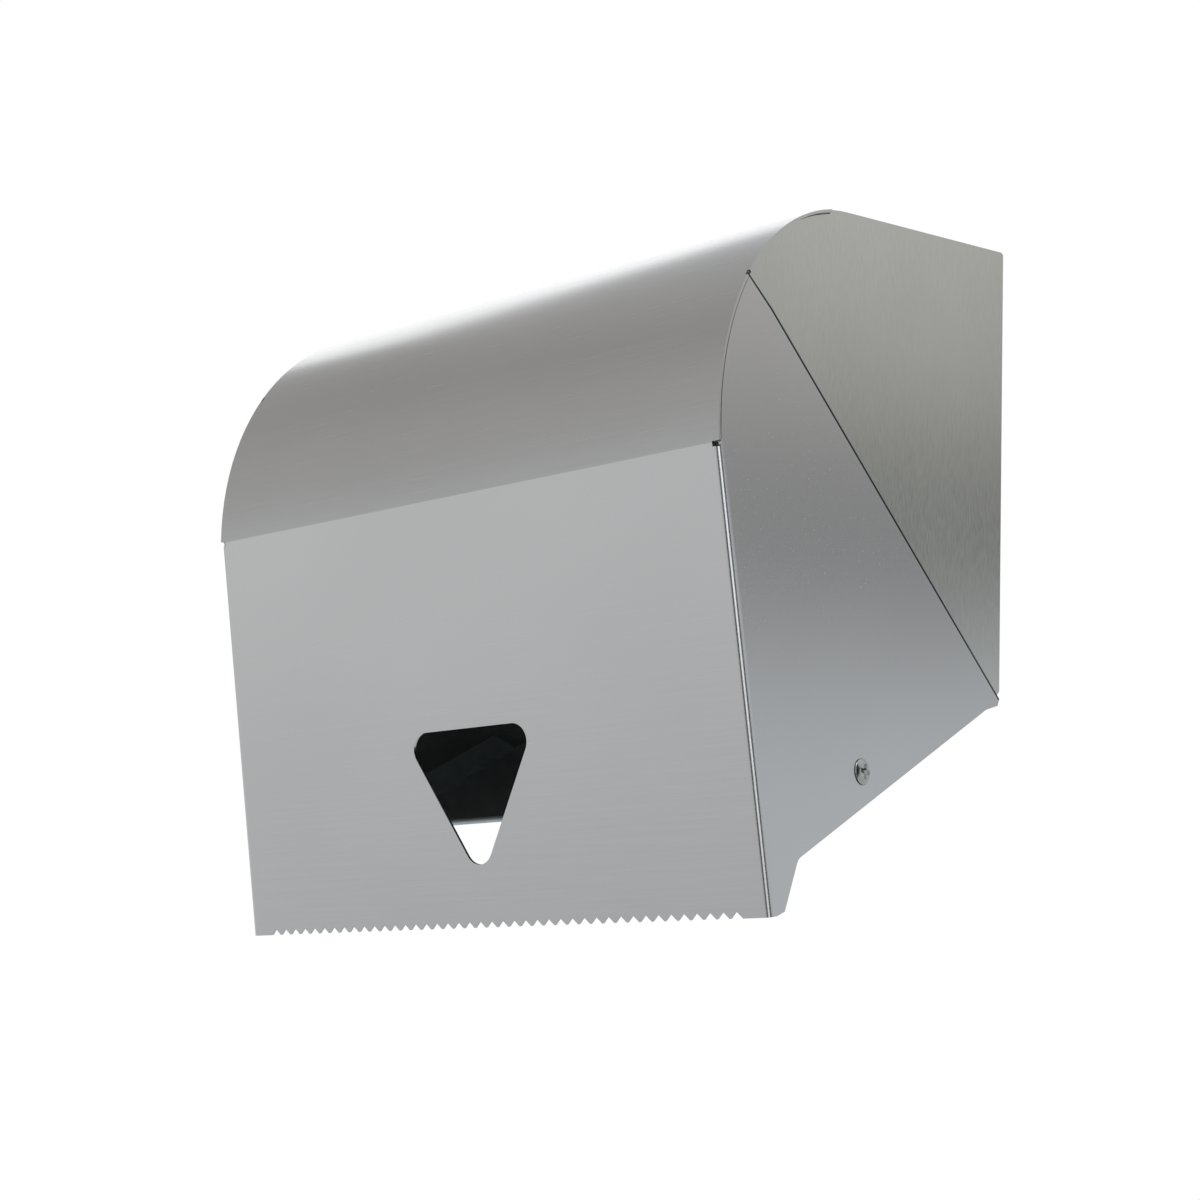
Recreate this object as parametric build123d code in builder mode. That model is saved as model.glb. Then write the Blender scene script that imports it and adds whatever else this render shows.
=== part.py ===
from build123d import *
from math import cos, radians, sin, tan
import os

# A wall mounted paper towel dispenser folded from stainless sheet. Sizes in mm.
# X runs across it, +Y points at the wall and +Z up. The origin is the middle of
# the four wall screws, on the wall.

os.makedirs("parts", exist_ok=True)

# Overall shape, as seen from the side
WIDTH = 230.0
LEAN = 15.5  # degrees the top slopes down and the front leans in
ROLL_CENTRE = (-87.7, -32.8)
ROLL_RADIUS = 98.3
SKIN_ANGLE = 113.3  # where the rolled top ends at the back
CREASE_ANGLE = 188.6  # where it meets the flat front
FRONT_LENGTH = 146.2
PIVOT = (-96.9, -133.8)
REAR_CORNER = (-8.0, -79.6)

# Sheets, and the gaps between parts
COVER_SHEET = 1.0
BODY_SHEET = 1.0
ARM_SHEET = 2.0
SIDE_GAP = 0.8
SKIN_GAP = 0.3
TURN_GAP = 0.3
TOP_PROUD = 0.2  # how far the body's top stands above the cover's

# Window and tooth row
WINDOW_SIDE = 60.0
WINDOW_CORNER = 6.0
WINDOW_TOP = 67.0
TOOTH_COUNT = 42
TOOTH_PITCH = 5.0
TOOTH_DEPTH = 2.3
NOTCH_WIDTH = 4.8

# Holes and pins shared by several parts
WALL_SPACING_X = 130.0
WALL_SPACING_Z = 110.0
WALL_HOLE = 3.0
PIVOT_SCREW = 2.5
STUD_RADIUS = 2.0
HUB_PIN = 3.0

# Positions across the width
cheek_inner = WIDTH / 2 - COVER_SHEET
wall_outer = cheek_inner - SIDE_GAP
wall_inner = wall_outer - BODY_SHEET
lean = radians(LEAN)
body_radius = ROLL_RADIUS + TOP_PROUD


def on_roll(radius, angle):
    """Side view point at an angle on a circle about the middle of the rolled top."""
    turn = radians(angle)
    return (ROLL_CENTRE[0] + radius * cos(turn), ROLL_CENTRE[1] + radius * sin(turn))


def top_height(y):
    """Height of the sloping top's outer face at a distance from the wall."""
    start = on_roll(body_radius, 90 + LEAN)
    return start[1] + (y - start[0]) * tan(lean)


def outward(side, x, centre):
    """Plane square to X on one side of the dispenser, facing away from its middle."""
    return Plane(origin=(side * x, *centre), x_dir=(0, 1, 0), z_dir=(side, 0, 0))


# Cover: front, rolled top and cheeks in one folded sheet
FOLD_RADIUS = 2.2
RELIEF_RADIUS = 1.0
CHEEK_TOP_ANGLE = 151.4
CHEEK_BACK = [(-14.4, -94.3), (-5.9, -90.9), (-4.8, -88.0), (-159.5, 7.0)]
CHEEK_LOW = (-132.1, -168.4)
CHEEK_LOW_ROUND = 5.0
CHEEK_NOSE = (-138.3, -185.5)
SEAM_TOP = 0.15  # between a cheek and the rolled top, at the seam's two ends
SEAM_LOW = 0.4
BUSH_RADIUS = 3.5

half_cover = COVER_SHEET / 2
skin_inner = ROLL_RADIUS - COVER_SHEET
crease = on_roll(ROLL_RADIUS - half_cover, CREASE_ANGLE)


def down_front(length, inside=0.0):
    """Side view point below the crease along the front, and inside its middle."""
    return (crease[0] + length * sin(lean) + inside * cos(lean),
            crease[1] - length * cos(lean) + inside * sin(lean))


tooth_edge = down_front(FRONT_LENGTH)
front_plane = Plane(origin=(0, *tooth_edge), x_dir=(1, 0, 0), z_dir=(0, -cos(lean), -sin(lean)))

with BuildPart() as cover:
    with BuildSketch(Plane.YZ):
        with BuildLine():
            for radius, inside in ((ROLL_RADIUS, -half_cover), (skin_inner, half_cover)):
                ThreePointArc(on_roll(radius, SKIN_ANGLE), on_roll(radius, 150), down_front(0, inside))
                Line(down_front(0, inside), down_front(FRONT_LENGTH, inside))
            Line(on_roll(ROLL_RADIUS, SKIN_ANGLE), on_roll(skin_inner, SKIN_ANGLE))
            Line(down_front(FRONT_LENGTH, -half_cover), down_front(FRONT_LENGTH, half_cover))
        make_face()
    extrude(amount=WIDTH / 2, both=True)

    # The cheeks' curved edges lie just inside the rolled top
    with BuildSketch(Plane.YZ.offset(cheek_inner), Plane.YZ.offset(-WIDTH / 2)):
        with BuildLine():
            curved = ThreePointArc(
                on_roll(skin_inner - SEAM_TOP, CHEEK_TOP_ANGLE),
                on_roll(skin_inner - (SEAM_TOP + SEAM_LOW) / 2, (CHEEK_TOP_ANGLE + CREASE_ANGLE) / 2),
                on_roll(skin_inner - SEAM_LOW, CREASE_ANGLE - 0.5),
            )
            Polyline(curved @ 1, down_front(1.5 * RELIEF_RADIUS), tooth_edge,
                     down_front(FRONT_LENGTH, FOLD_RADIUS + COVER_SHEET),
                     CHEEK_NOSE, CHEEK_LOW, *CHEEK_BACK, curved @ 0)
        cheek = make_face()
        fillet(cheek.vertices().sort_by_distance((*CHEEK_LOW, 0))[0], CHEEK_LOW_ROUND)
    extrude(amount=COVER_SHEET)

    # Relief holes where the folds meet the rolled top
    relief_depth = FOLD_RADIUS + RELIEF_RADIUS / 2
    with BuildSketch(Plane.YZ.offset(WIDTH / 2 - relief_depth), Plane.YZ.offset(-WIDTH / 2)):
        with Locations(down_front(RELIEF_RADIUS / 2)):
            Circle(RELIEF_RADIUS)
    extrude(amount=relief_depth, mode=Mode.SUBTRACT)

    folds = cover.edges().filter_by(Axis((0, 0, 0), (0, sin(lean), -cos(lean))))
    outer_folds = [fold for fold in folds if abs(abs(fold.center().X) - WIDTH / 2) < 0.01]
    inner_folds = [fold for fold in folds if abs(abs(fold.center().X) - cheek_inner) < 0.01]
    fillet(inner_folds, FOLD_RADIUS - COVER_SHEET)
    fillet(outer_folds, FOLD_RADIUS)

    # Window, teeth and pivot holes
    with BuildSketch(front_plane):
        window_middle = WINDOW_TOP - WINDOW_SIDE * tan(radians(30)) / 2
        with Locations((0, window_middle)):
            window = RegularPolygon(WINDOW_SIDE / (2 * cos(radians(30))), 3, rotation=-90)
        fillet(window.vertices(), WINDOW_CORNER)
        with GridLocations(TOOTH_PITCH, 0, TOOTH_COUNT, 1):
            Polygon((-NOTCH_WIDTH / 2, 0), (0, TOOTH_DEPTH), (NOTCH_WIDTH / 2, 0),
                    (0, -TOOTH_DEPTH), align=None)
    extrude(amount=2 * COVER_SHEET, both=True, mode=Mode.SUBTRACT)
    with BuildSketch(Plane.YZ):
        with Locations(PIVOT):
            Circle(BUSH_RADIUS + TURN_GAP)
    extrude(amount=WIDTH, both=True, mode=Mode.SUBTRACT)
cover.part.label = "cover"
export_step(cover.part, "parts/cover.step")


# Lock position, and side view points measured from it
LOCK_Y = -98.4
LATCH_SHEET = 1.2
LATCH_X = 14.0
LATCH_WIDTH = 12.0
LATCH_REACH = 45.0
LATCH_FOOT_ANGLE = 132.0
LATCH_FOOT_SPAN = 8.0
LATCH_GAP = 0.6
WELD_GAP = 0.02
CAM_HALF_WIDTH = 4.0
CAM_DEPTH = 16.0
CAM_SHEET = 2.0
CAM_LENGTH = 26.0

lock_plane = Plane(origin=(0, LOCK_Y, top_height(LOCK_Y)), x_dir=(1, 0, 0),
                   z_dir=(0, -sin(lean), cos(lean)))


def under_top(behind, depth):
    """Side view point behind the lock's middle, along the top, and below its face."""
    return (LOCK_Y + behind * cos(lean) + depth * sin(lean),
            top_height(LOCK_Y) + behind * sin(lean) - depth * cos(lean))


# Latch arm, welded under the rolled top and caught by the lock's cam
latch_depth = CAM_DEPTH + CAM_SHEET + LATCH_GAP + LATCH_SHEET / 2
latch_back = CAM_HALF_WIDTH + LATCH_GAP + LATCH_SHEET / 2

with BuildPart() as latch_arm:
    with BuildSketch(Plane.YZ.offset(LATCH_X)):
        with BuildLine():
            foot = CenterArc(ROLL_CENTRE, skin_inner - LATCH_SHEET / 2 - WELD_GAP,
                             LATCH_FOOT_ANGLE, -LATCH_FOOT_SPAN)
            Polyline(foot @ 1, under_top(-LATCH_REACH, latch_depth),
                     under_top(latch_back, latch_depth), under_top(latch_back, CAM_DEPTH - LATCH_GAP))
        trace(line_width=LATCH_SHEET)
    extrude(amount=LATCH_WIDTH)
latch_arm.part.label = "latch_arm"
export_step(latch_arm.part, "parts/latch_arm.step")


# Chassis: back wall and side walls
EAR_RADIUS = 9.5
BEND = 1.5  # to the middle of the sheet
REAR_ROUND = 3.0
ARC_END = 158.0  # degrees round the roll, hidden in the cover
STEP_ANGLE = 0.5  # degrees between the cover's edge and the step beside it
STOCK = 190.0  # half the chassis sheet before its outline is cut

ledge_radius = skin_inner - SKIN_GAP
step_start = SKIN_ANGLE - STEP_ANGLE
step_span = ARC_END + 10 - step_start

with BuildPart() as chassis:
    with BuildSketch():
        with BuildLine():
            wall_middle = wall_outer - BODY_SHEET / 2
            FilletPolyline((-wall_middle, -STOCK), (-wall_middle, -BODY_SHEET / 2),
                           (wall_middle, -BODY_SHEET / 2), (wall_middle, -STOCK), radius=BEND)
        trace(line_width=BODY_SHEET)
    extrude(amount=STOCK, both=True)

    # The side walls' outline is the tightest band round these rounds
    with BuildSketch(Plane.YZ):
        with BuildLine():
            CenterArc(ROLL_CENTRE, body_radius, 90 + LEAN, ARC_END - 90 - LEAN)
        with Locations(PIVOT):
            Circle(EAR_RADIUS)
        with Locations(REAR_CORNER):
            Circle(-REAR_CORNER[0])
        with Locations((-REAR_ROUND, top_height(-REAR_ROUND) - REAR_ROUND / cos(lean))):
            Circle(REAR_ROUND)
        make_hull()
        with BuildLine():
            step = CenterArc(ROLL_CENTRE, ledge_radius, step_start, step_span)
            over = CenterArc(ROLL_CENTRE, 1.1 * ROLL_RADIUS, step_start, step_span)
            Line(step @ 0, over @ 0)
            Line(step @ 1, over @ 1)
        make_face(mode=Mode.SUBTRACT)
    extrude(amount=WIDTH, both=True, mode=Mode.INTERSECT)

    # The back wall stops square below, between the side walls
    with Locations((0, 0, REAR_CORNER[1])):
        Box(2 * wall_inner - 4 * BEND, 4 * BODY_SHEET, STOCK, mode=Mode.SUBTRACT,
            align=(Align.CENTER, Align.CENTER, Align.MAX))
    with BuildSketch(Plane.XZ):
        with GridLocations(WALL_SPACING_X, WALL_SPACING_Z, 2, 2):
            Circle(WALL_HOLE)
    extrude(amount=2 * BODY_SHEET, both=True, mode=Mode.SUBTRACT)
    with BuildSketch(Plane.YZ):
        with Locations(PIVOT):
            Circle(PIVOT_SCREW)
    extrude(amount=WIDTH, both=True, mode=Mode.SUBTRACT)
chassis.part.label = "chassis"
export_step(chassis.part, "parts/chassis.step")


# Top plate: slope, flush start of the roll, and a ledge under the cover's edge
BARREL_RADIUS = 8.0
REAR_FLANGE = 15.0
REAR_BEND = 2.5
LEDGE_SPAN = 7.5  # degrees round the roll
JOGGLE = 0.2  # degrees round the roll
SIDE_FLANGE = 12.0
SIDE_FLANGE_FRONT = -8.0  # both measured back from the lock
SIDE_FLANGE_BACK = 84.0
FLANGE_TAPER = 2.0

half_sheet = BODY_SHEET / 2
corner_cut = (2 * BEND, 4 * BEND, 40.0)  # clears the chassis bends

with BuildPart() as top_plate:
    with BuildSketch(Plane.YZ):
        with BuildLine():
            slope_end = on_roll(body_radius - half_sheet, 90 + LEAN)
            rear = -BODY_SHEET - half_sheet
            rear_top = slope_end[1] + (rear - slope_end[0]) * tan(lean)
            FilletPolyline((rear, rear_top - REAR_FLANGE), (rear, rear_top), slope_end,
                           radius=REAR_BEND)
            flush = CenterArc(ROLL_CENTRE, body_radius - half_sheet, 90 + LEAN,
                              step_start - STEP_ANGLE - 90 - LEAN)
            ledge = CenterArc(ROLL_CENTRE, ledge_radius - half_sheet,
                              step_start - STEP_ANGLE + JOGGLE, LEDGE_SPAN)
            Line(flush @ 1, ledge @ 0)
        trace(line_width=BODY_SHEET)
    extrude(amount=wall_inner, both=True)

    # Side flanges, spot welded to the side walls
    with BuildSketch(Plane.YZ.offset(wall_inner - BODY_SHEET), Plane.YZ.offset(-wall_inner)):
        with BuildLine():
            Polyline(under_top(SIDE_FLANGE_FRONT, half_sheet),
                     under_top(SIDE_FLANGE_BACK, half_sheet),
                     under_top(SIDE_FLANGE_BACK - FLANGE_TAPER, SIDE_FLANGE),
                     under_top(SIDE_FLANGE_FRONT + FLANGE_TAPER, SIDE_FLANGE), close=True)
        make_face()
    extrude(amount=BODY_SHEET)

    with Locations((wall_inner, 0, top_height(0)), (-wall_inner, 0, top_height(0))):
        Box(*corner_cut, mode=Mode.SUBTRACT)
    with BuildSketch(lock_plane):
        Circle(BARREL_RADIUS)
    extrude(amount=3 * BODY_SHEET, both=True, mode=Mode.SUBTRACT)
top_plate.part.label = "top_plate"
export_step(top_plate.part, "parts/top_plate.step")


# Floor plate: slopes down to a hemmed lip that the paper slides over
LIP = (-90.4, -139.2)
FLOOR_SLOPE = radians(32.2)
WALL_TAB = 12.0
HEM = 0.8  # to the middle of the sheet
HEM_LENGTH = 8.0
FLOOR_FLANGE = 10.0
FLOOR_FLANGE_BACK = 12.0  # both measured from the wall
FLOOR_FLANGE_FRONT = 75.0


def on_floor(forward, above):
    """Side view point in front of the wall along the floor, and above its middle."""
    rise = LIP[1] - LIP[0] * tan(FLOOR_SLOPE)
    return (-forward - above * sin(FLOOR_SLOPE),
            rise - forward * tan(FLOOR_SLOPE) + above * cos(FLOOR_SLOPE))


with BuildPart() as floor_plate:
    with BuildSketch(Plane.YZ):
        with BuildLine():
            wall_foot = on_floor(BODY_SHEET + half_sheet, 0)
            FilletPolyline((wall_foot[0], wall_foot[1] + WALL_TAB), wall_foot, LIP, radius=BEND)
            uphill = Vector(cos(FLOOR_SLOPE), sin(FLOOR_SLOPE))
            hem = JernArc(LIP, -uphill, HEM, -180)
            Line(hem @ 1, hem @ 1 + uphill * HEM_LENGTH)
        trace(line_width=BODY_SHEET)
    extrude(amount=wall_inner, both=True)
    with BuildSketch(Plane.YZ.offset(wall_inner - BODY_SHEET), Plane.YZ.offset(-wall_inner)):
        with BuildLine():
            Polyline(on_floor(FLOOR_FLANGE_BACK, 0), on_floor(FLOOR_FLANGE_FRONT, 0),
                     on_floor(FLOOR_FLANGE_FRONT - 2 * FLANGE_TAPER, FLOOR_FLANGE),
                     on_floor(FLOOR_FLANGE_BACK + FLOOR_FLANGE, FLOOR_FLANGE), close=True)
        make_face()
    extrude(amount=BODY_SHEET)
    with Locations((wall_inner, 0, wall_foot[1]), (-wall_inner, 0, wall_foot[1])):
        Box(*corner_cut, mode=Mode.SUBTRACT)
floor_plate.part.label = "floor_plate"
export_step(floor_plate.part, "parts/floor_plate.step")


# Cover pivots: screw, flanged bush and nut on each side
BUSH_FLANGE = 6.0
HEAD_RADIUS = 4.75
HEAD_HEIGHT = 1.3
HEAD_CHAMFER = 0.8
THREAD_LENGTH = 5.5  # inside the side wall
PIVOT_NUT = 4.0  # half its width across flats, and its height

head_seat = WIDTH / 2 + TURN_GAP
flange_top = cheek_inner - TURN_GAP

with BuildPart() as pivot_screws:
    for side in (-1, 1):
        with BuildSketch(outward(side, wall_inner - THREAD_LENGTH, PIVOT)):
            Circle(PIVOT_SCREW)
        extrude(amount=head_seat - wall_inner + THREAD_LENGTH)
        with BuildSketch(outward(side, head_seat, PIVOT)):
            Circle(HEAD_RADIUS)
        extrude(amount=HEAD_HEIGHT)
    rims = pivot_screws.edges().filter_by(GeomType.CIRCLE).group_by(lambda rim: abs(rim.center().X))
    chamfer(rims[-1], HEAD_CHAMFER)
pivot_screws.part.label = "pivot_screws"
export_step(pivot_screws.part, "parts/pivot_screws.step")

with BuildPart() as pivot_bushes:
    for side in (-1, 1):
        with BuildSketch(outward(side, wall_outer, PIVOT)):
            Circle(BUSH_FLANGE)
            Circle(PIVOT_SCREW, mode=Mode.SUBTRACT)
        extrude(amount=flange_top - wall_outer)
        with BuildSketch(outward(side, flange_top, PIVOT)):
            Circle(BUSH_RADIUS)
            Circle(PIVOT_SCREW, mode=Mode.SUBTRACT)
        extrude(amount=head_seat - flange_top)
pivot_bushes.part.label = "pivot_bushes"
export_step(pivot_bushes.part, "parts/pivot_bushes.step")

with BuildPart() as pivot_nuts:
    for side in (-1, 1):
        with BuildSketch(outward(side, wall_inner - PIVOT_NUT, PIVOT)):
            RegularPolygon(PIVOT_NUT, 6, major_radius=False)
            Circle(PIVOT_SCREW, mode=Mode.SUBTRACT)
        extrude(amount=PIVOT_NUT)
pivot_nuts.part.label = "pivot_nuts"
export_step(pivot_nuts.part, "parts/pivot_nuts.step")


# Left arm: bent foot, held on the back wall by two weld studs
ARM_X = 100.0
ARM_END_RADIUS = 13.0
FOOT_END = 80.0
FOOT_HEIGHT = 60.0
STUD_X = 90.0
STUD_SPACING = 30.0

arm_face = -BODY_SHEET - ARM_SHEET / 2
stud_plane = Plane(origin=(0, -BODY_SHEET, ROLL_CENTRE[1]), x_dir=(1, 0, 0), z_dir=(0, -1, 0))

with BuildPart() as left_arm:
    with BuildSketch():
        with BuildLine():
            FilletPolyline((-FOOT_END, arm_face), (-ARM_X, arm_face), (-ARM_X, -STOCK), radius=BEND)
        trace(line_width=ARM_SHEET)
    extrude(amount=STOCK, both=True)
    with BuildSketch(Plane.YZ):
        with Locations(ROLL_CENTRE):
            Circle(ARM_END_RADIUS)
        with Locations((arm_face, ROLL_CENTRE[1])):
            Rectangle(ARM_SHEET, FOOT_HEIGHT)
        make_hull()
    extrude(amount=WIDTH, both=True, mode=Mode.INTERSECT)
    with BuildSketch(stud_plane):
        with Locations((-STUD_X, -STUD_SPACING / 2), (-STUD_X, STUD_SPACING / 2)):
            Circle(STUD_RADIUS)
    extrude(amount=2 * ARM_SHEET, mode=Mode.SUBTRACT)
    with BuildSketch(Plane.YZ):
        with Locations(ROLL_CENTRE):
            Circle(HUB_PIN)
    extrude(amount=WIDTH, both=True, mode=Mode.SUBTRACT)
left_arm.part.label = "left_arm"
export_step(left_arm.part, "parts/left_arm.step")


# Right arm: hinged in a bracket and pushed inwards by a leaf spring
HINGE = (102.8, -11.0)
HINGE_PIN = 2.0
HINGE_PLAY = 0.15
KNUCKLE_RADIUS = 4.0
KNUCKLE_HEIGHT = 44.0
BRACKET_INNER = 84.0
BRACKET_OUTER = 110.0
EAR_ROUND = 5.0
EAR_BASE = 14.0
RIVET_HEAD = 3.2
RIVET_HEAD_HEIGHT = 1.5
SPRING_SHEET = 0.5
SPRING_HEIGHT = 14.0
SPRING_BENDS = [-20.0, -36.0, -66.0, -72.0]  # from the spot welds to the turned out tip
SPRING_TURN_OUT = 3.0
SPRING_ROUND = 6.0

with BuildPart() as right_arm:
    with BuildSketch(Plane.YZ.offset(ARM_X - ARM_SHEET / 2)):
        with Locations(ROLL_CENTRE):
            Circle(ARM_END_RADIUS)
        with Locations((HINGE[1] - ARM_SHEET / 2, ROLL_CENTRE[1])):
            Rectangle(ARM_SHEET, KNUCKLE_HEIGHT)
        make_hull()
        with Locations(ROLL_CENTRE):
            Circle(HUB_PIN, mode=Mode.SUBTRACT)
    extrude(amount=ARM_SHEET)
    with Locations((*HINGE, ROLL_CENTRE[1])):
        Cylinder(KNUCKLE_RADIUS, KNUCKLE_HEIGHT)
        Cylinder(HINGE_PIN + HINGE_PLAY, KNUCKLE_HEIGHT, mode=Mode.SUBTRACT)
right_arm.part.label = "right_arm"
export_step(right_arm.part, "parts/right_arm.step")

ear = KNUCKLE_HEIGHT / 2 + TURN_GAP
pin_half = ear + ARM_SHEET

with BuildPart() as arm_bracket:
    with Locations(((BRACKET_INNER + BRACKET_OUTER) / 2, arm_face, ROLL_CENTRE[1])):
        Box(BRACKET_OUTER - BRACKET_INNER, ARM_SHEET, 2 * pin_half)
    with BuildSketch(Plane.XY.offset(ROLL_CENTRE[1] + ear),
                     Plane.XY.offset(ROLL_CENTRE[1] - pin_half)):
        with Locations(HINGE):
            Circle(EAR_ROUND)
        with Locations((HINGE[0], arm_face)):
            Rectangle(EAR_BASE, ARM_SHEET)
        make_hull()
    extrude(amount=ARM_SHEET)
    with Locations((*HINGE, ROLL_CENTRE[1])):
        Cylinder(HINGE_PIN, 2 * STOCK, mode=Mode.SUBTRACT)
    with BuildSketch(stud_plane):
        with Locations((STUD_X, -STUD_SPACING / 2), (STUD_X, STUD_SPACING / 2)):
            Circle(STUD_RADIUS)
    extrude(amount=2 * ARM_SHEET, mode=Mode.SUBTRACT)
arm_bracket.part.label = "arm_bracket"
export_step(arm_bracket.part, "parts/arm_bracket.step")

with BuildPart() as arm_pin:
    with Locations((*HINGE, ROLL_CENTRE[1])):
        Cylinder(HINGE_PIN, 2 * pin_half + ARM_SHEET)
    with Locations((*HINGE, ROLL_CENTRE[1] + pin_half)):
        Cylinder(RIVET_HEAD, RIVET_HEAD_HEIGHT, align=(Align.CENTER, Align.CENTER, Align.MIN))
arm_pin.part.label = "arm_pin"
export_step(arm_pin.part, "parts/arm_pin.step")

with BuildPart() as arm_spring:
    with BuildSketch(Plane.XY.offset(ROLL_CENTRE[1])):
        with BuildLine():
            spring_wall = wall_inner - SPRING_SHEET / 2
            spring_tip = ARM_X + ARM_SHEET / 2 + TURN_GAP + SPRING_SHEET / 2
            across = [spring_wall, spring_wall, spring_tip, spring_tip + SPRING_TURN_OUT]
            FilletPolyline(*zip(across, SPRING_BENDS), radius=SPRING_ROUND)
        trace(line_width=SPRING_SHEET)
    extrude(amount=SPRING_HEIGHT / 2, both=True)
arm_spring.part.label = "arm_spring"
export_step(arm_spring.part, "parts/arm_spring.step")


# Weld studs on the back wall and their nuts
STUD_LENGTH = 9.0
STUD_NUT = 3.5  # half its width across flats
STUD_NUT_HEIGHT = 3.2

with BuildPart() as weld_studs:
    with BuildSketch(stud_plane):
        with GridLocations(2 * STUD_X, STUD_SPACING, 2, 2):
            Circle(STUD_RADIUS)
    extrude(amount=STUD_LENGTH)
weld_studs.part.label = "weld_studs"
export_step(weld_studs.part, "parts/weld_studs.step")

with BuildPart() as stud_nuts:
    with BuildSketch(stud_plane.offset(ARM_SHEET)):
        with GridLocations(2 * STUD_X, STUD_SPACING, 2, 2):
            RegularPolygon(STUD_NUT, 6, major_radius=False)
            Circle(STUD_RADIUS, mode=Mode.SUBTRACT)
    extrude(amount=STUD_NUT_HEIGHT)
stud_nuts.part.label = "stud_nuts"
export_step(stud_nuts.part, "parts/stud_nuts.step")


# Hubs that carry the roll's core, each on its pin with a clip
HUB_FLANGE = 23.0
FLANGE_SHEET = 3.0
CORE_SEAT = 18.0
SEAT_LENGTH = 4.0
NOSE_LENGTH = 4.0
NOSE_STEP = 1.0
POCKET = 15.0
TUBE = 7.0
TUBE_LENGTH = 5.0
RIB = 1.5
RIB_COUNT = 6
HUB_PLAY = 0.2
PIN_HEAD = 5.0
PIN_HEAD_HEIGHT = 1.5
GROOVE_DEPTH = 0.6
CLIP_SHEET = 0.8
CLIP_RADIUS = 5.2
CLIP_SLOT = 3.6
PIN_TAIL = 1.8

hub_seat = ARM_X - ARM_SHEET / 2 - TURN_GAP
tube_end = FLANGE_SHEET + TUBE_LENGTH
clip_seat = tube_end + TURN_GAP

for side, name in ((-1, "left"), (1, "right")):
    # Faces inwards from the arm, so that heights run along the pin
    hub_plane = Plane(origin=(side * hub_seat, *ROLL_CENTRE), x_dir=(0, 1, 0), z_dir=(-side, 0, 0))
    with BuildPart() as hub:
        with BuildSketch(hub_plane):
            Circle(HUB_FLANGE)
        extrude(amount=FLANGE_SHEET)
        with BuildSketch(hub_plane.offset(FLANGE_SHEET)):
            Circle(CORE_SEAT)
        extrude(amount=SEAT_LENGTH)
        with BuildSketch(hub_plane.offset(FLANGE_SHEET + SEAT_LENGTH)):
            Circle(CORE_SEAT - NOSE_STEP)
        extrude(amount=NOSE_LENGTH)
        with BuildSketch(hub_plane.offset(FLANGE_SHEET)):
            Circle(POCKET)
        extrude(amount=SEAT_LENGTH + NOSE_LENGTH, mode=Mode.SUBTRACT)
        with BuildSketch(hub_plane.offset(FLANGE_SHEET)):
            Circle(TUBE)
            with PolarLocations((TUBE + POCKET) / 2, RIB_COUNT):
                Rectangle(POCKET - TUBE + RIB, RIB)
        extrude(amount=TUBE_LENGTH)
        with BuildSketch(hub_plane):
            Circle(HUB_PIN + HUB_PLAY)
        extrude(amount=tube_end, mode=Mode.SUBTRACT)
    hub.part.label = f"{name}_hub"
    export_step(hub.part, f"parts/{name}_hub.step")

    with BuildPart() as hub_pin:
        with BuildSketch(hub_plane.offset(-TURN_GAP - ARM_SHEET - PIN_HEAD_HEIGHT)):
            Circle(PIN_HEAD)
        extrude(amount=PIN_HEAD_HEIGHT)
        with BuildSketch(hub_plane.offset(-TURN_GAP - ARM_SHEET)):
            Circle(HUB_PIN)
        extrude(amount=TURN_GAP + ARM_SHEET + clip_seat + PIN_TAIL)
        with BuildSketch(hub_plane.offset(clip_seat)):
            Circle(HUB_PIN)
            Circle(HUB_PIN - GROOVE_DEPTH, mode=Mode.SUBTRACT)
        extrude(amount=CLIP_SHEET, mode=Mode.SUBTRACT)
    hub_pin.part.label = f"{name}_hub_pin"
    export_step(hub_pin.part, f"parts/{name}_hub_pin.step")

    with BuildPart() as hub_clip:
        with BuildSketch(hub_plane.offset(clip_seat)):
            Circle(CLIP_RADIUS)
            Circle(HUB_PIN - GROOVE_DEPTH, mode=Mode.SUBTRACT)
            with Locations((CLIP_RADIUS, 0)):
                Rectangle(2 * CLIP_RADIUS, CLIP_SLOT, mode=Mode.SUBTRACT)
        extrude(amount=CLIP_SHEET)
    hub_clip.part.label = f"{name}_hub_clip"
    export_step(hub_clip.part, f"parts/{name}_hub_clip.step")


# Lock in the top plate: barrel and nut fixed, plug and cam turning
BARREL_FLANGE = 9.5
BARREL_RIM = 2.0
BARREL_CHAMFER = 0.6
LOCK_NUT = 10.5  # half its width across flats
LOCK_NUT_HEIGHT = 3.5
PLUG_RADIUS = 5.0
PLUG_SINK = 0.2
PLUG_SQUARE = 5.0
KEY_SLOT = (1.4, 7.0)
KEY_DEPTH = 9.0
CAM_ROUND = 7.0
CAM_SCREW = 1.5
CAM_SCREW_LENGTH = 6.5
CAM_SCREW_HEAD = 3.6
CAM_SCREW_HEAD_HEIGHT = 2.0

barrel_depth = CAM_DEPTH - TURN_GAP
cam_end = -CAM_DEPTH - CAM_SHEET

with BuildPart() as lock_barrel:
    with BuildSketch(lock_plane):
        Circle(BARREL_FLANGE)
    extrude(amount=BARREL_RIM)
    with BuildSketch(lock_plane):
        Circle(BARREL_RADIUS)
    extrude(amount=-barrel_depth)
    with BuildSketch(lock_plane.offset(BARREL_RIM)):
        Circle(PLUG_RADIUS + TURN_GAP)
    extrude(amount=-barrel_depth - BARREL_RIM, mode=Mode.SUBTRACT)
    chamfer(lock_barrel.faces().sort_by(Axis.Z)[-1].outer_wire().edges(), BARREL_CHAMFER)
lock_barrel.part.label = "lock_barrel"
export_step(lock_barrel.part, "parts/lock_barrel.step")

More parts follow.
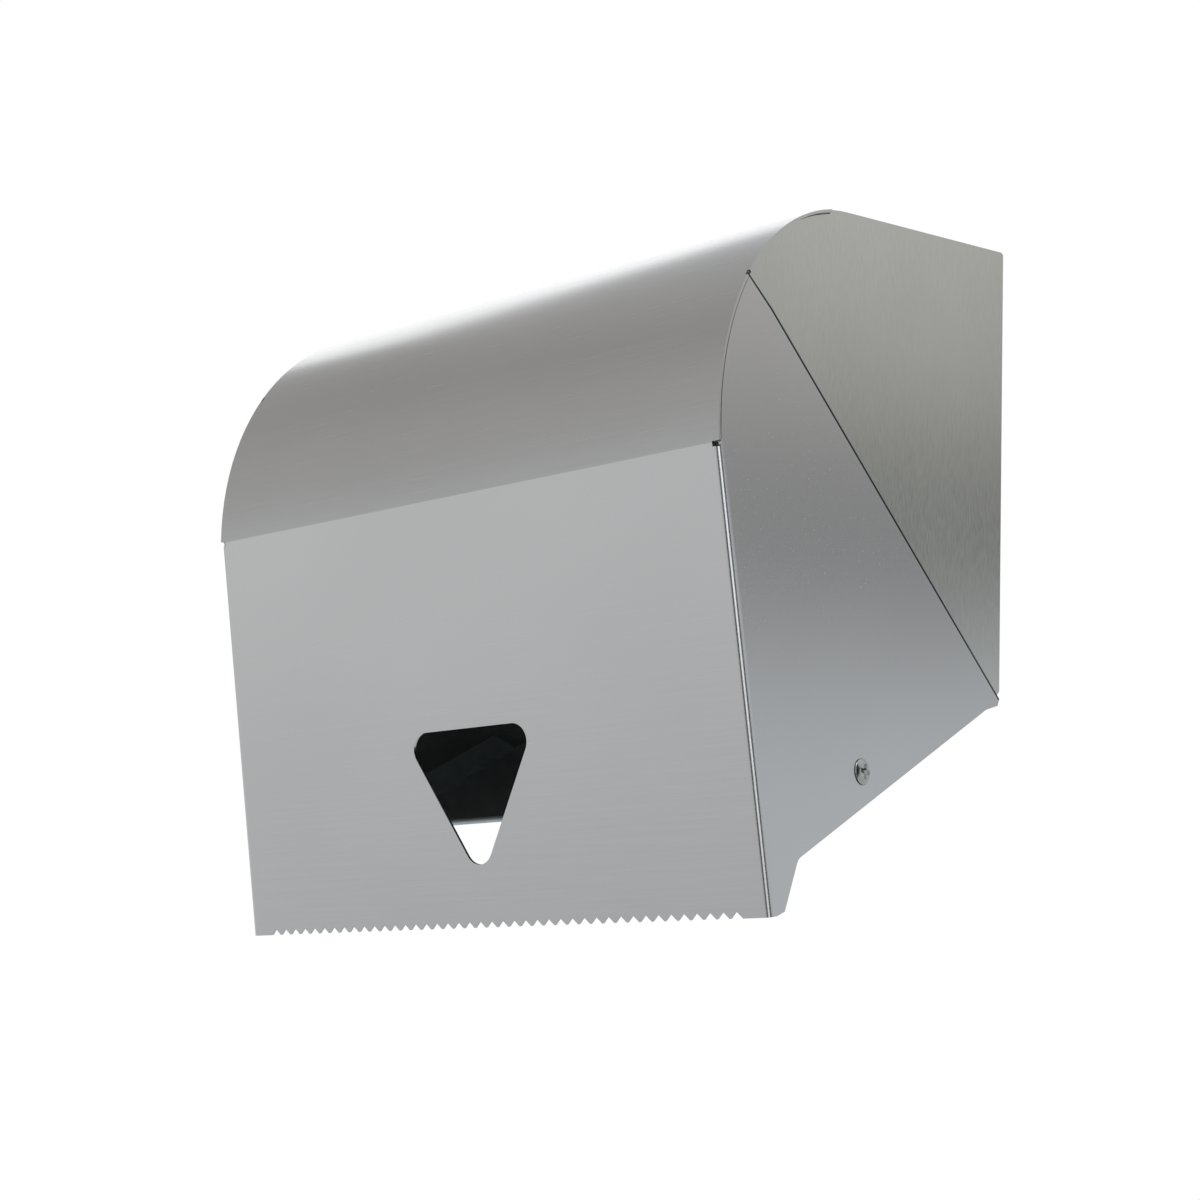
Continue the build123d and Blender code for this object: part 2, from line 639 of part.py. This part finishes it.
with BuildPart() as lock_nut:
    with BuildSketch(lock_plane.offset(-BODY_SHEET)):
        RegularPolygon(LOCK_NUT, 6, major_radius=False)
        Circle(BARREL_RADIUS, mode=Mode.SUBTRACT)
    extrude(amount=-LOCK_NUT_HEIGHT)
lock_nut.part.label = "lock_nut"
export_step(lock_nut.part, "parts/lock_nut.step")

with BuildPart() as lock_plug:
    with BuildSketch(lock_plane.offset(BARREL_RIM - PLUG_SINK)):
        Circle(PLUG_RADIUS)
    extrude(amount=-(CAM_DEPTH + BARREL_RIM - PLUG_SINK))
    with BuildSketch(lock_plane.offset(-CAM_DEPTH)):
        Rectangle(PLUG_SQUARE, PLUG_SQUARE)
    extrude(amount=-CAM_SHEET)
    with BuildSketch(lock_plane.offset(BARREL_RIM)):
        Rectangle(*KEY_SLOT)
    extrude(amount=-KEY_DEPTH, mode=Mode.SUBTRACT)
    with BuildSketch(lock_plane.offset(cam_end)):
        Circle(CAM_SCREW)
    extrude(amount=CAM_SCREW_LENGTH, mode=Mode.SUBTRACT)
lock_plug.part.label = "lock_plug"
export_step(lock_plug.part, "parts/lock_plug.step")

# The cam points forwards while unlocked and turns to the latch arm's side
with BuildPart() as lock_cam:
    with BuildSketch(lock_plane.offset(-CAM_DEPTH)):
        Circle(CAM_ROUND)
        with Locations((0, CAM_HALF_WIDTH - CAM_LENGTH)):
            Circle(CAM_HALF_WIDTH)
        with Locations((0, (CAM_HALF_WIDTH - CAM_LENGTH) / 2)):
            Rectangle(2 * CAM_HALF_WIDTH, CAM_LENGTH - CAM_HALF_WIDTH)
        Rectangle(PLUG_SQUARE, PLUG_SQUARE, mode=Mode.SUBTRACT)
    extrude(amount=-CAM_SHEET)
lock_cam.part.label = "lock_cam"
export_step(lock_cam.part, "parts/lock_cam.step")

with BuildPart() as cam_screw:
    with BuildSketch(lock_plane.offset(cam_end)):
        Circle(CAM_SCREW_HEAD)
    extrude(amount=-CAM_SCREW_HEAD_HEIGHT)
    with BuildSketch(lock_plane.offset(cam_end)):
        Circle(CAM_SCREW)
    extrude(amount=CAM_SCREW_LENGTH)
cam_screw.part.label = "cam_screw"
export_step(cam_screw.part, "parts/cam_screw.step")
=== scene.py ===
from math import pi

import bmesh
import bpy
from mathutils import Matrix, Vector


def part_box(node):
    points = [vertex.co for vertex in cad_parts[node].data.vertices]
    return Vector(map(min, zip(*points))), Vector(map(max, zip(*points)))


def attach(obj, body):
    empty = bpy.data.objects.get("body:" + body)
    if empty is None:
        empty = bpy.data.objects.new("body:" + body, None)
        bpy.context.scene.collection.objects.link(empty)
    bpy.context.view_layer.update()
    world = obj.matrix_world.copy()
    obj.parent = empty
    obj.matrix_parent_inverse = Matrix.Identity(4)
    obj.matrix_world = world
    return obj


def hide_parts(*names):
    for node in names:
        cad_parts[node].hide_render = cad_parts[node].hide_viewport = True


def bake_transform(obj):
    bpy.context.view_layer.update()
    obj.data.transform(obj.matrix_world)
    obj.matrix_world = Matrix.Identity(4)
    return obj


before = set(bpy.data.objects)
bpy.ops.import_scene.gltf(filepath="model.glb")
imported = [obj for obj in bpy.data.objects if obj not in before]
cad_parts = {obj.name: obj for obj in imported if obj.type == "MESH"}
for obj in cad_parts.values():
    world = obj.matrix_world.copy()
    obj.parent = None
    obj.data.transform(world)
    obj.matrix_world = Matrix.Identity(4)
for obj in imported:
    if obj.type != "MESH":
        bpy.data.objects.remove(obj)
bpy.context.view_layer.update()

# Places and sizes that the CAD model fixes, in metres. The pivot is given as Y and Z.
WIDTH = 0.230
PIVOT = (-0.0969, -0.1338)
SHANK_RADIUS = 0.0025
SHANK_END = 0.1067


# Materials

# How far roughness wanders from its own value
STEEL_SPREAD = 0.025
PLASTIC_SPREAD = 0.08

# Painted shade: dark lines along two edges of the cheeks, painted where the gap beside them lies in shade.
# A point on each edge and the way square to it, as Y and Z
GAP_SHADE_WIDTH = 0.0009
EDGE_MARGIN = 0.0001
GAP_SHADE_COLOUR = (0.035, 0.05, 0.05, 1.0)
CHEEK_INNER = WIDTH / 2 - 0.0009
GAP_SHADE_EDGES = [((-0.0048, -0.0880), (0.523, 0.852)), ((-0.1595, 0.0070), (0.456, 0.890))]


def new_material(name):
    material = bpy.data.materials.new(name)
    material.use_nodes = True
    material.node_tree.nodes.clear()
    return material


def feed(tree, socket, value):
    """Link a socket to another one, or set it to a value."""
    if isinstance(value, bpy.types.NodeSocket):
        tree.links.new(value, socket)
    else:
        socket.default_value = value


def node(tree, kind, inputs=None, **settings):
    """A node with its settings, and its inputs set to a value or linked to a socket."""
    made = tree.nodes.new(kind)
    for key, value in settings.items():
        setattr(made, key, value)
    for key, value in (inputs or {}).items():
        feed(tree, made.inputs[key], value)
    return made


def blend(tree, factor, first, second):
    """Colours mixed by a factor."""
    made = node(tree, "ShaderNodeMix", data_type="RGBA")
    sockets = {socket.identifier: socket for socket in made.inputs}
    for identifier, value in (("Factor_Float", factor), ("A_Color", first), ("B_Color", second)):
        feed(tree, sockets[identifier], value)
    return [socket for socket in made.outputs if socket.identifier == "Result_Color"][0]


def brush_grain(tree, place, grain):
    """Noise drawn out along the brushing."""
    stretched = node(tree, "ShaderNodeMapping", {"Vector": place, "Scale": grain})
    return node(tree, "ShaderNodeTexNoise", {"Vector": stretched.outputs["Vector"], "Scale": 1.0,
                                             "Detail": 4.0, "Roughness": 0.65}).outputs["Fac"]


def gap_shade_mask(tree, place, point, across):
    """Mask for a line of painted shade: 1 along a straight outer edge of the cheeks and 0 elsewhere."""
    depth = node(tree, "ShaderNodeVectorMath", {0: place, 1: (0.0, *across)},
                 operation="DOT_PRODUCT").outputs["Value"]
    edge = point[0] * across[0] + point[1] * across[1]
    line = node(tree, "ShaderNodeMath", {0: depth, 1: edge - GAP_SHADE_WIDTH / 2, 2: GAP_SHADE_WIDTH / 2 + EDGE_MARGIN},
                operation="COMPARE")
    sideways = node(tree, "ShaderNodeSeparateXYZ", {"Vector": place}).outputs["X"]
    sideways = node(tree, "ShaderNodeMath", {0: sideways}, operation="ABSOLUTE").outputs["Value"]
    cheek = node(tree, "ShaderNodeMath", {0: sideways, 1: CHEEK_INNER}, operation="GREATER_THAN")
    return node(tree, "ShaderNodeMath", {0: line.outputs["Value"], 1: cheek.outputs["Value"]},
                operation="MULTIPLY").outputs["Value"]


def brushed_steel(name, colour, roughness, grain, mottle=0.04, bump=0.02, edges=(), metallic=1.0):
    """Satin stainless sheet. grain is how dense the brushing is along X, Y and Z per metre, so the
    least one is the way that the belt ran. edges are straight edges of the cheeks, along which dark lines
    of painted shade stand in for the shaded gap beside them."""
    material = new_material(name)
    tree = material.node_tree
    place = node(tree, "ShaderNodeTexCoord").outputs["Object"]
    strokes = brush_grain(tree, place, grain)
    patches = node(tree, "ShaderNodeTexNoise", {"Vector": place, "Scale": 9.0,
                                                "Detail": 2.0}).outputs["Fac"]
    darker = (*(part * (1 - mottle) for part in colour), 1.0)
    lighter = (*(min(part * (1 + mottle), 1.0) for part in colour), 1.0)
    both = node(tree, "ShaderNodeMath", {0: strokes, 1: patches}, operation="ADD")
    spread = node(tree, "ShaderNodeMapRange", {"Value": both.outputs["Value"], "From Min": 0.7,
                                               "From Max": 1.3})
    tint = blend(tree, spread.outputs["Result"], darker, lighter)
    # Painted shade: a dark line along each given edge, standing in for the shaded gap beside it
    for point, across in edges:
        tint = blend(tree, gap_shade_mask(tree, place, point, across), tint, GAP_SHADE_COLOUR)
    rough = node(tree, "ShaderNodeMapRange", {"Value": strokes, "From Min": 0.3, "From Max": 0.7,
                                              "To Min": roughness - STEEL_SPREAD,
                                              "To Max": roughness + STEEL_SPREAD})
    relief = node(tree, "ShaderNodeBump", {"Height": strokes, "Strength": bump, "Distance": 0.0002})
    shader = node(tree, "ShaderNodeBsdfPrincipled", {"Base Color": tint, "Metallic": metallic,
                                                     "Roughness": rough.outputs["Result"],
                                                     "Normal": relief.outputs["Normal"]})
    node(tree, "ShaderNodeOutputMaterial", {"Surface": shader.outputs["BSDF"]})
    return material


def moulded_plastic(name, colour, roughness):
    """Injection moulded plastic with a fine matt skin."""
    material = new_material(name)
    tree = material.node_tree
    place = node(tree, "ShaderNodeTexCoord").outputs["Object"]
    speckle = node(tree, "ShaderNodeTexNoise", {"Vector": place, "Scale": 1800.0,
                                                "Detail": 3.0}).outputs["Fac"]
    rough = node(tree, "ShaderNodeMapRange", {"Value": speckle, "To Min": roughness - PLASTIC_SPREAD,
                                              "To Max": roughness + PLASTIC_SPREAD})
    relief = node(tree, "ShaderNodeBump", {"Height": speckle, "Strength": 0.08, "Distance": 0.0001})
    shader = node(tree, "ShaderNodeBsdfPrincipled", {"Base Color": (*colour, 1.0),
                                                     "Roughness": rough.outputs["Result"],
                                                     "Normal": relief.outputs["Normal"]})
    node(tree, "ShaderNodeOutputMaterial", {"Surface": shader.outputs["BSDF"]})
    return material


# The cover's cheeks carry lines of painted shade along two edges, standing in for the shaded gap beside
# them
cover_steel = brushed_steel("cover_steel", (0.555, 0.56, 0.56), 0.25, (25.0, 1400.0, 1400.0),
                            mottle=0.03, bump=0.003, edges=GAP_SHADE_EDGES)
body_steel = brushed_steel("body_steel", (0.545, 0.56, 0.53), 0.23, (1800.0, 1800.0, 240.0),
                           mottle=0.08, bump=0.03)
inner_steel = brushed_steel("inner_steel", (0.51, 0.57, 0.585), 0.38, (30.0, 700.0, 700.0),
                            bump=0.005, metallic=0.45)
fastener_steel = brushed_steel("fastener_steel", (0.42, 0.43, 0.43), 0.16, (2500.0, 2500.0, 2500.0))
spring_steel = brushed_steel("spring_steel", (0.16, 0.18, 0.22), 0.35, (60.0, 60.0, 1500.0))
lock_chrome = brushed_steel("lock_chrome", (0.62, 0.62, 0.63), 0.14, (400.0, 400.0, 400.0), bump=0.0)
hub_plastic = moulded_plastic("hub_plastic", (0.025, 0.026, 0.028), 0.48)
bush_nylon = moulded_plastic("bush_nylon", (0.66, 0.65, 0.60), 0.42)

FINISHES = {
    "cover": cover_steel, "latch_arm": inner_steel, "chassis": body_steel, "top_plate": body_steel,
    "floor_plate": inner_steel, "left_arm": inner_steel, "right_arm": inner_steel,
    "arm_bracket": inner_steel, "arm_pin": fastener_steel, "arm_spring": spring_steel,
    "weld_studs": fastener_steel, "stud_nuts": fastener_steel, "left_hub": hub_plastic,
    "right_hub": hub_plastic, "left_hub_pin": fastener_steel, "right_hub_pin": fastener_steel,
    "left_hub_clip": spring_steel, "right_hub_clip": spring_steel, "pivot_screws": fastener_steel,
    "pivot_bushes": bush_nylon, "pivot_nuts": fastener_steel, "lock_barrel": lock_chrome,
    "lock_nut": lock_chrome, "lock_plug": lock_chrome, "lock_cam": fastener_steel,
    "cam_screw": fastener_steel,
}

for name, finish in FINISHES.items():
    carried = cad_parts[name]
    carried.data.materials.clear()
    carried.data.materials.append(finish)


# New pieces

def object_from(made, name, finish):
    """The built mesh as an object at the origin."""
    thing = bpy.data.objects.new(name, bpy.data.meshes.new(name))
    bpy.context.collection.objects.link(thing)
    made.to_mesh(thing.data)
    made.free()
    thing.data.materials.append(finish)
    return thing


# Pivot screws with domed heads, cross recesses and threads

HEAD_BASE = WIDTH / 2 + 0.00008
HEAD_RADIUS = 0.0044
HEAD_RISE = 0.0019
HEAD_FLAT = 0.0028
HEAD_EDGE = 0.0001
HEAD_STEPS = 6
CROSS_REACH = 0.0026
CROSS_HALF_WIDTH = 0.0008
CROSS_DEPTH = 0.0020
CROSS_TAPER = 0.75
THREAD_DEPTH = 0.00025
THREAD_PITCH = 0.0008
THREAD_STOP = WIDTH / 2 - 0.0021
AROUND = 48
MERGE_GAP = 0.000001
FLAT_FACING = 0.98


def dome(radius):
    """How far the head's skin stands out at a radius."""
    return HEAD_RISE * (1 - (radius / HEAD_RADIUS) ** 2) + HEAD_EDGE


def screw_outline():
    """Half of the screw's section, as places along X with radii, from the end of the thread to the
    flat of the head."""
    outline = [(SHANK_END, 0.0), (SHANK_END, SHANK_RADIUS - 2 * THREAD_DEPTH)]
    x = SHANK_END + THREAD_PITCH / 2
    while x < THREAD_STOP:
        outline += [(x, SHANK_RADIUS), (x + THREAD_PITCH / 2, SHANK_RADIUS - THREAD_DEPTH)]
        x += THREAD_PITCH
    outline += [(x, SHANK_RADIUS), (HEAD_BASE, SHANK_RADIUS)]
    for step in range(HEAD_STEPS + 1):
        radius = HEAD_RADIUS - (HEAD_RADIUS - HEAD_FLAT) * step / HEAD_STEPS
        outline.append((HEAD_BASE + dome(radius), radius))
    return outline


def cross_recess(made, flat):
    """Walls and bottom of the recess, below the flat of the head. Gives the edges of its mouth."""
    quarter = [(CROSS_REACH, CROSS_HALF_WIDTH), (CROSS_REACH, -CROSS_HALF_WIDTH),
               (CROSS_HALF_WIDTH, -CROSS_HALF_WIDTH)]
    corners = [made.verts.new(Matrix.Rotation(-turn * pi / 2, 3, "X") @ Vector((flat, *corner)))
               for turn in range(4) for corner in quarter]
    mouth = made.faces.new(corners)
    rim = list(mouth.edges)
    bottom = bmesh.ops.extrude_discrete_faces(made, faces=[mouth])["faces"][0]
    bmesh.ops.scale(made, vec=(1.0, CROSS_TAPER, CROSS_TAPER), verts=bottom.verts)
    bmesh.ops.translate(made, vec=(-CROSS_DEPTH, 0.0, 0.0), verts=bottom.verts)
    return rim


def pivot_screw(name, side):
    """An outline spun about X, with a cross sunk into its head. It is moved to its pivot, and a side
    of -1 turns it round for the left cheek."""
    made = bmesh.new()
    outline = [made.verts.new((x, radius, 0.0)) for x, radius in screw_outline()]
    edges = [made.edges.new(pair) for pair in zip(outline, outline[1:])]
    bmesh.ops.spin(made, geom=outline + edges, axis=(1.0, 0.0, 0.0), angle=2 * pi, steps=AROUND,
                   use_merge=True)
    bmesh.ops.remove_doubles(made, verts=made.verts, dist=MERGE_GAP)
    rim = [edge for edge in made.edges if edge.is_boundary]
    mouth = cross_recess(made, HEAD_BASE + dome(HEAD_FLAT))
    bmesh.ops.triangle_fill(made, edges=rim + mouth, use_beauty=True)
    pivot = Matrix.Translation((0.0, *PIVOT)) @ Matrix.Diagonal((side, 1.0, side, 1.0))
    bmesh.ops.transform(made, matrix=pivot, verts=made.verts)
    bmesh.ops.recalc_face_normals(made, faces=made.faces)
    for face in made.faces:
        face.smooth = abs(face.normal.x) < FLAT_FACING
    screw = object_from(made, name, fastener_steel)
    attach(screw, "housing")
    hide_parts("pivot_screws")


for side, name in ((-1, "left"), (1, "right")):
    pivot_screw(f"{name}_pivot_screw", side)


# Arm spring: a leaf welded to the side wall, which bends as the arm swings out

SPRING_SHEET = 0.0005
SPRING_WELDED = -0.036
SPRING_TOUCH = -0.066
SPRING_TURN_OUT = 0.00176
SPRING_EASED = -0.06953
SPRING_TIP_OUT = 0.00238
SPRING_TIP_SHORT = 0.00006
SPRING_BEND = 0.0027
SPRING_BEND_STEPS = 10
SPRING_CUTS = 50


def arm_spring():
    """A strip of sheet with two bends and an eased end, which starts as the line of its face towards the
    side wall. The run between the bends is cut across in many places, because it bends with the arm."""
    low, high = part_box("arm_spring")
    made = bmesh.new()
    touch = low.x + SPRING_SHEET
    wall_face = [(high.x, high.y), (high.x, SPRING_WELDED), (touch, SPRING_TOUCH),
                 (touch + SPRING_TURN_OUT, SPRING_EASED),
                 (touch + SPRING_TIP_OUT, low.y + SPRING_TIP_SHORT)]
    corners = [made.verts.new((x, y, low.z)) for x, y in wall_face]
    for pair in zip(corners, corners[1:]):
        made.edges.new(pair)
    bmesh.ops.bevel(made, geom=corners[1:3], offset=SPRING_BEND, affect="VERTICES",
                    segments=SPRING_BEND_STEPS, profile=0.5, material=-1)
    free_run = max(made.edges, key=bmesh.types.BMEdge.calc_length)
    bmesh.ops.subdivide_edges(made, edges=[free_run], cuts=SPRING_CUTS)
    strip = bmesh.ops.extrude_edge_only(made, edges=list(made.edges))["geom"]
    upper = [part for part in strip if isinstance(part, bmesh.types.BMVert)]
    bmesh.ops.translate(made, vec=(0.0, 0.0, high.z - low.z), verts=upper)
    bmesh.ops.recalc_face_normals(made, faces=made.faces)
    bmesh.ops.solidify(made, geom=list(made.faces), thickness=SPRING_SHEET)
    leaf = object_from(made, "arm_leaf_spring", spring_steel)
    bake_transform(leaf)
    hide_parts("arm_spring")


arm_spring()


# Studio

FLOOR_HEIGHT = -1.2
FLOOR_REACH = 40.0
WORLD_LIGHT = 0.8
LAMP_TARGET = (0, -0.1, -0.05)


def grey(level, cool=0.0):
    """A light level, warmer or cooler than white."""
    return (level * (1 - cool), level, level * (1 + cool))


# What metal shows of the left and of the right, as heights from -1, down, to 1, up, with colours
LEFT_BAND = [(-0.6, grey(0.62, 0.03)), (-0.3, grey(0.66, 0.02)), (-0.05, grey(0.88)), (0.14, grey(0.56)),
             (0.45, grey(0.5, -0.02)), (0.72, grey(0.42, -0.03)), (1.0, grey(0.6))]
RIGHT_BAND = [(-0.4, grey(0.66)), (0.0, grey(0.69, 0.02)), (0.23, grey(0.76, 0.04)),
              (0.31, grey(0.12, -0.02)), (0.385, grey(0.55, -0.02)), (0.46, grey(0.7, -0.02)),
              (1.0, grey(0.9))]

# How the left blends into the right, and the even light behind the dispenser on the left
SIDE_SPREAD = 0.25
BACK_GLOW = grey(0.62, 0.02)
BACK_START = 0.04
BACK_FULL = 0.45

# A bright upright strip between two dark ones, which draws the lines along the cover's folds
STRIP_DIRECTION = (0.72, -0.69, 0.0)
STRIP_BAND = [(0.95, grey(0.03, 0.3)), (0.985, grey(2.0, 0.02))]
STRIP_START = 0.72
STRIP_FULL = 0.82
STRIP_LOW = -0.4
STRIP_LEAST = 0.4


def studio_floor():
    """A wide pale floor below the dispenser. Metal shows the bands of the world in its place."""
    made = bmesh.new()
    bmesh.ops.create_grid(made, x_segments=1, y_segments=1, size=FLOOR_REACH,
                          matrix=Matrix.Translation((0, 0, FLOOR_HEIGHT)))
    material = new_material("floor_paint")
    tree = material.node_tree
    place = node(tree, "ShaderNodeTexCoord").outputs["Object"]
    cloud = node(tree, "ShaderNodeTexNoise", {"Vector": place, "Scale": 2.0}).outputs["Fac"]
    rough = node(tree, "ShaderNodeMapRange", {"Value": cloud, "To Min": 0.85, "To Max": 0.95})
    shader = node(tree, "ShaderNodeBsdfPrincipled", {"Base Color": (0.8, 0.8, 0.8, 1.0),
                                                     "Roughness": rough.outputs["Result"]})
    path = node(tree, "ShaderNodeLightPath")
    clear = node(tree, "ShaderNodeBsdfTransparent")
    mixed = node(tree, "ShaderNodeMixShader", {0: path.outputs["Is Glossy Ray"], 1: shader.outputs["BSDF"],
                                               2: clear.outputs["BSDF"]})
    node(tree, "ShaderNodeOutputMaterial", {"Surface": mixed.outputs["Shader"]})
    object_from(made, "studio_floor", material)


def ramp(tree, factor, stops):
    """A smooth colour ramp. stops are places from -1 to 1 with colours."""
    spread = node(tree, "ShaderNodeMapRange", {"Value": factor, "From Min": -1.0})
    made = node(tree, "ShaderNodeValToRGB", {"Fac": spread.outputs["Result"]})
    made.color_ramp.interpolation = "EASE"
    elements = made.color_ramp.elements
    while len(elements) < len(stops):
        elements.new(0.5)
    for element, (place, colour) in zip(elements, stops):
        element.position = (place + 1) / 2
        element.color = (*colour, 1.0)
    return made.outputs["Color"]


def rise(tree, value, start, full, least=0.0):
    """least up to start, 1 from full on, and even in between."""
    return node(tree, "ShaderNodeMapRange", {"Value": value, "From Min": start, "From Max": full,
                                             "To Min": least}).outputs["Result"]


def metal_room(tree):
    """The colour of the studio in each direction, as metal sees it."""
    direction = node(tree, "ShaderNodeTexCoord").outputs["Generated"]
    places = node(tree, "ShaderNodeSeparateXYZ", {"Vector": direction}).outputs
    side = rise(tree, places["X"], -SIDE_SPREAD, SIDE_SPREAD)
    room = blend(tree, side, ramp(tree, places["Z"], LEFT_BAND), ramp(tree, places["Z"], RIGHT_BAND))
    behind = rise(tree, places["Y"], BACK_START, BACK_FULL)
    off_side = node(tree, "ShaderNodeMath", {0: 1.0, 1: side}, operation="SUBTRACT")
    behind = node(tree, "ShaderNodeMath", {0: behind, 1: off_side.outputs["Value"]}, operation="MULTIPLY")
    room = blend(tree, behind.outputs["Value"], room, (*BACK_GLOW, 1.0))

    level = node(tree, "ShaderNodeVectorMath", {0: direction, 1: (1.0, 1.0, 0.0)}, operation="MULTIPLY")
    level = node(tree, "ShaderNodeVectorMath", {0: level.outputs["Vector"]}, operation="NORMALIZE")
    toward_strip = node(tree, "ShaderNodeVectorMath", {0: level.outputs["Vector"], 1: STRIP_DIRECTION},
                        operation="DOT_PRODUCT").outputs["Value"]
    fade = rise(tree, places["Z"], STRIP_LOW, 0.0, STRIP_LEAST)
    strip = node(tree, "ShaderNodeVectorMath", {0: ramp(tree, toward_strip, STRIP_BAND), "Scale": fade},
                 operation="SCALE").outputs["Vector"]
    return blend(tree, rise(tree, toward_strip, STRIP_START, STRIP_FULL), room, strip)


def studio_world():
    """White to the camera, a plain level for lighting, and the studio's bands to metal."""
    world = bpy.data.worlds.new("studio_world")
    world.use_nodes = True
    tree = world.node_tree
    tree.nodes.clear()
    path = node(tree, "ShaderNodeLightPath").outputs
    seen = node(tree, "ShaderNodeMath", {0: path["Is Camera Ray"], 1: path["Is Glossy Ray"]},
                operation="MAXIMUM")
    seen = node(tree, "ShaderNodeMath", {0: seen.outputs["Value"], 1: path["Is Transmission Ray"]},
                operation="MAXIMUM")
    strength = node(tree, "ShaderNodeMapRange", {"Value": seen.outputs["Value"], "To Min": WORLD_LIGHT,
                                                 "To Max": 1.0})
    shown = blend(tree, path["Is Glossy Ray"], (1.0, 1.0, 1.0, 1.0), metal_room(tree))
    sky = node(tree, "ShaderNodeBackground", {"Color": shown, "Strength": strength.outputs["Result"]})
    node(tree, "ShaderNodeOutputWorld", {"Surface": sky.outputs["Background"]})
    bpy.context.scene.world = world


def softbox(name, place, size, power):
    """A large area lamp that faces the dispenser."""
    lamp = bpy.data.lights.new(name, "AREA")
    lamp.shape = "RECTANGLE"
    lamp.size, lamp.size_y = size
    lamp.energy = power
    stand = bpy.data.objects.new(name, lamp)
    bpy.context.collection.objects.link(stand)
    aim = Vector(LAMP_TARGET) - Vector(place)
    stand.matrix_world = Matrix.Translation(place) @ aim.to_track_quat("-Z", "Y").to_matrix().to_4x4()


studio_floor()
studio_world()
softbox("key_light", (0.9, -1.3, 2.2), (1.2, 1.2), 13.0)
softbox("back_light", (-1.6, 1.4, 1.5), (1.8, 1.4), 6.5)


# Camera, fitted to the photograph: from the right, in front and below

CAMERA_PLACE = Vector((0.4784, -0.6759, -0.2775))
CAMERA_RIGHT = Vector((0.7766, 0.6261, 0.0702))
CAMERA_DOWN = Vector((-0.1445, 0.2855, -0.9474))
CAMERA_LENS = 63.1
CAMERA_SENSOR = 36.0
CAMERA_SHIFT = (0.0121, -0.0649)


def set_camera():
    camera = bpy.data.cameras.new("camera")
    camera.sensor_width = CAMERA_SENSOR
    camera.lens = CAMERA_LENS
    camera.shift_x, camera.shift_y = CAMERA_SHIFT
    camera.clip_start = 0.01
    stand = bpy.data.objects.new("camera", camera)
    bpy.context.collection.objects.link(stand)
    right = CAMERA_RIGHT.normalized()
    back = right.cross(-CAMERA_DOWN).normalized()
    up = back.cross(right)
    turn = Matrix((right, up, back)).transposed().to_4x4()
    stand.matrix_world = Matrix.Translation(CAMERA_PLACE) @ turn
    bpy.context.scene.camera = stand


set_camera()
bpy.context.scene.view_settings.view_transform = "Standard"
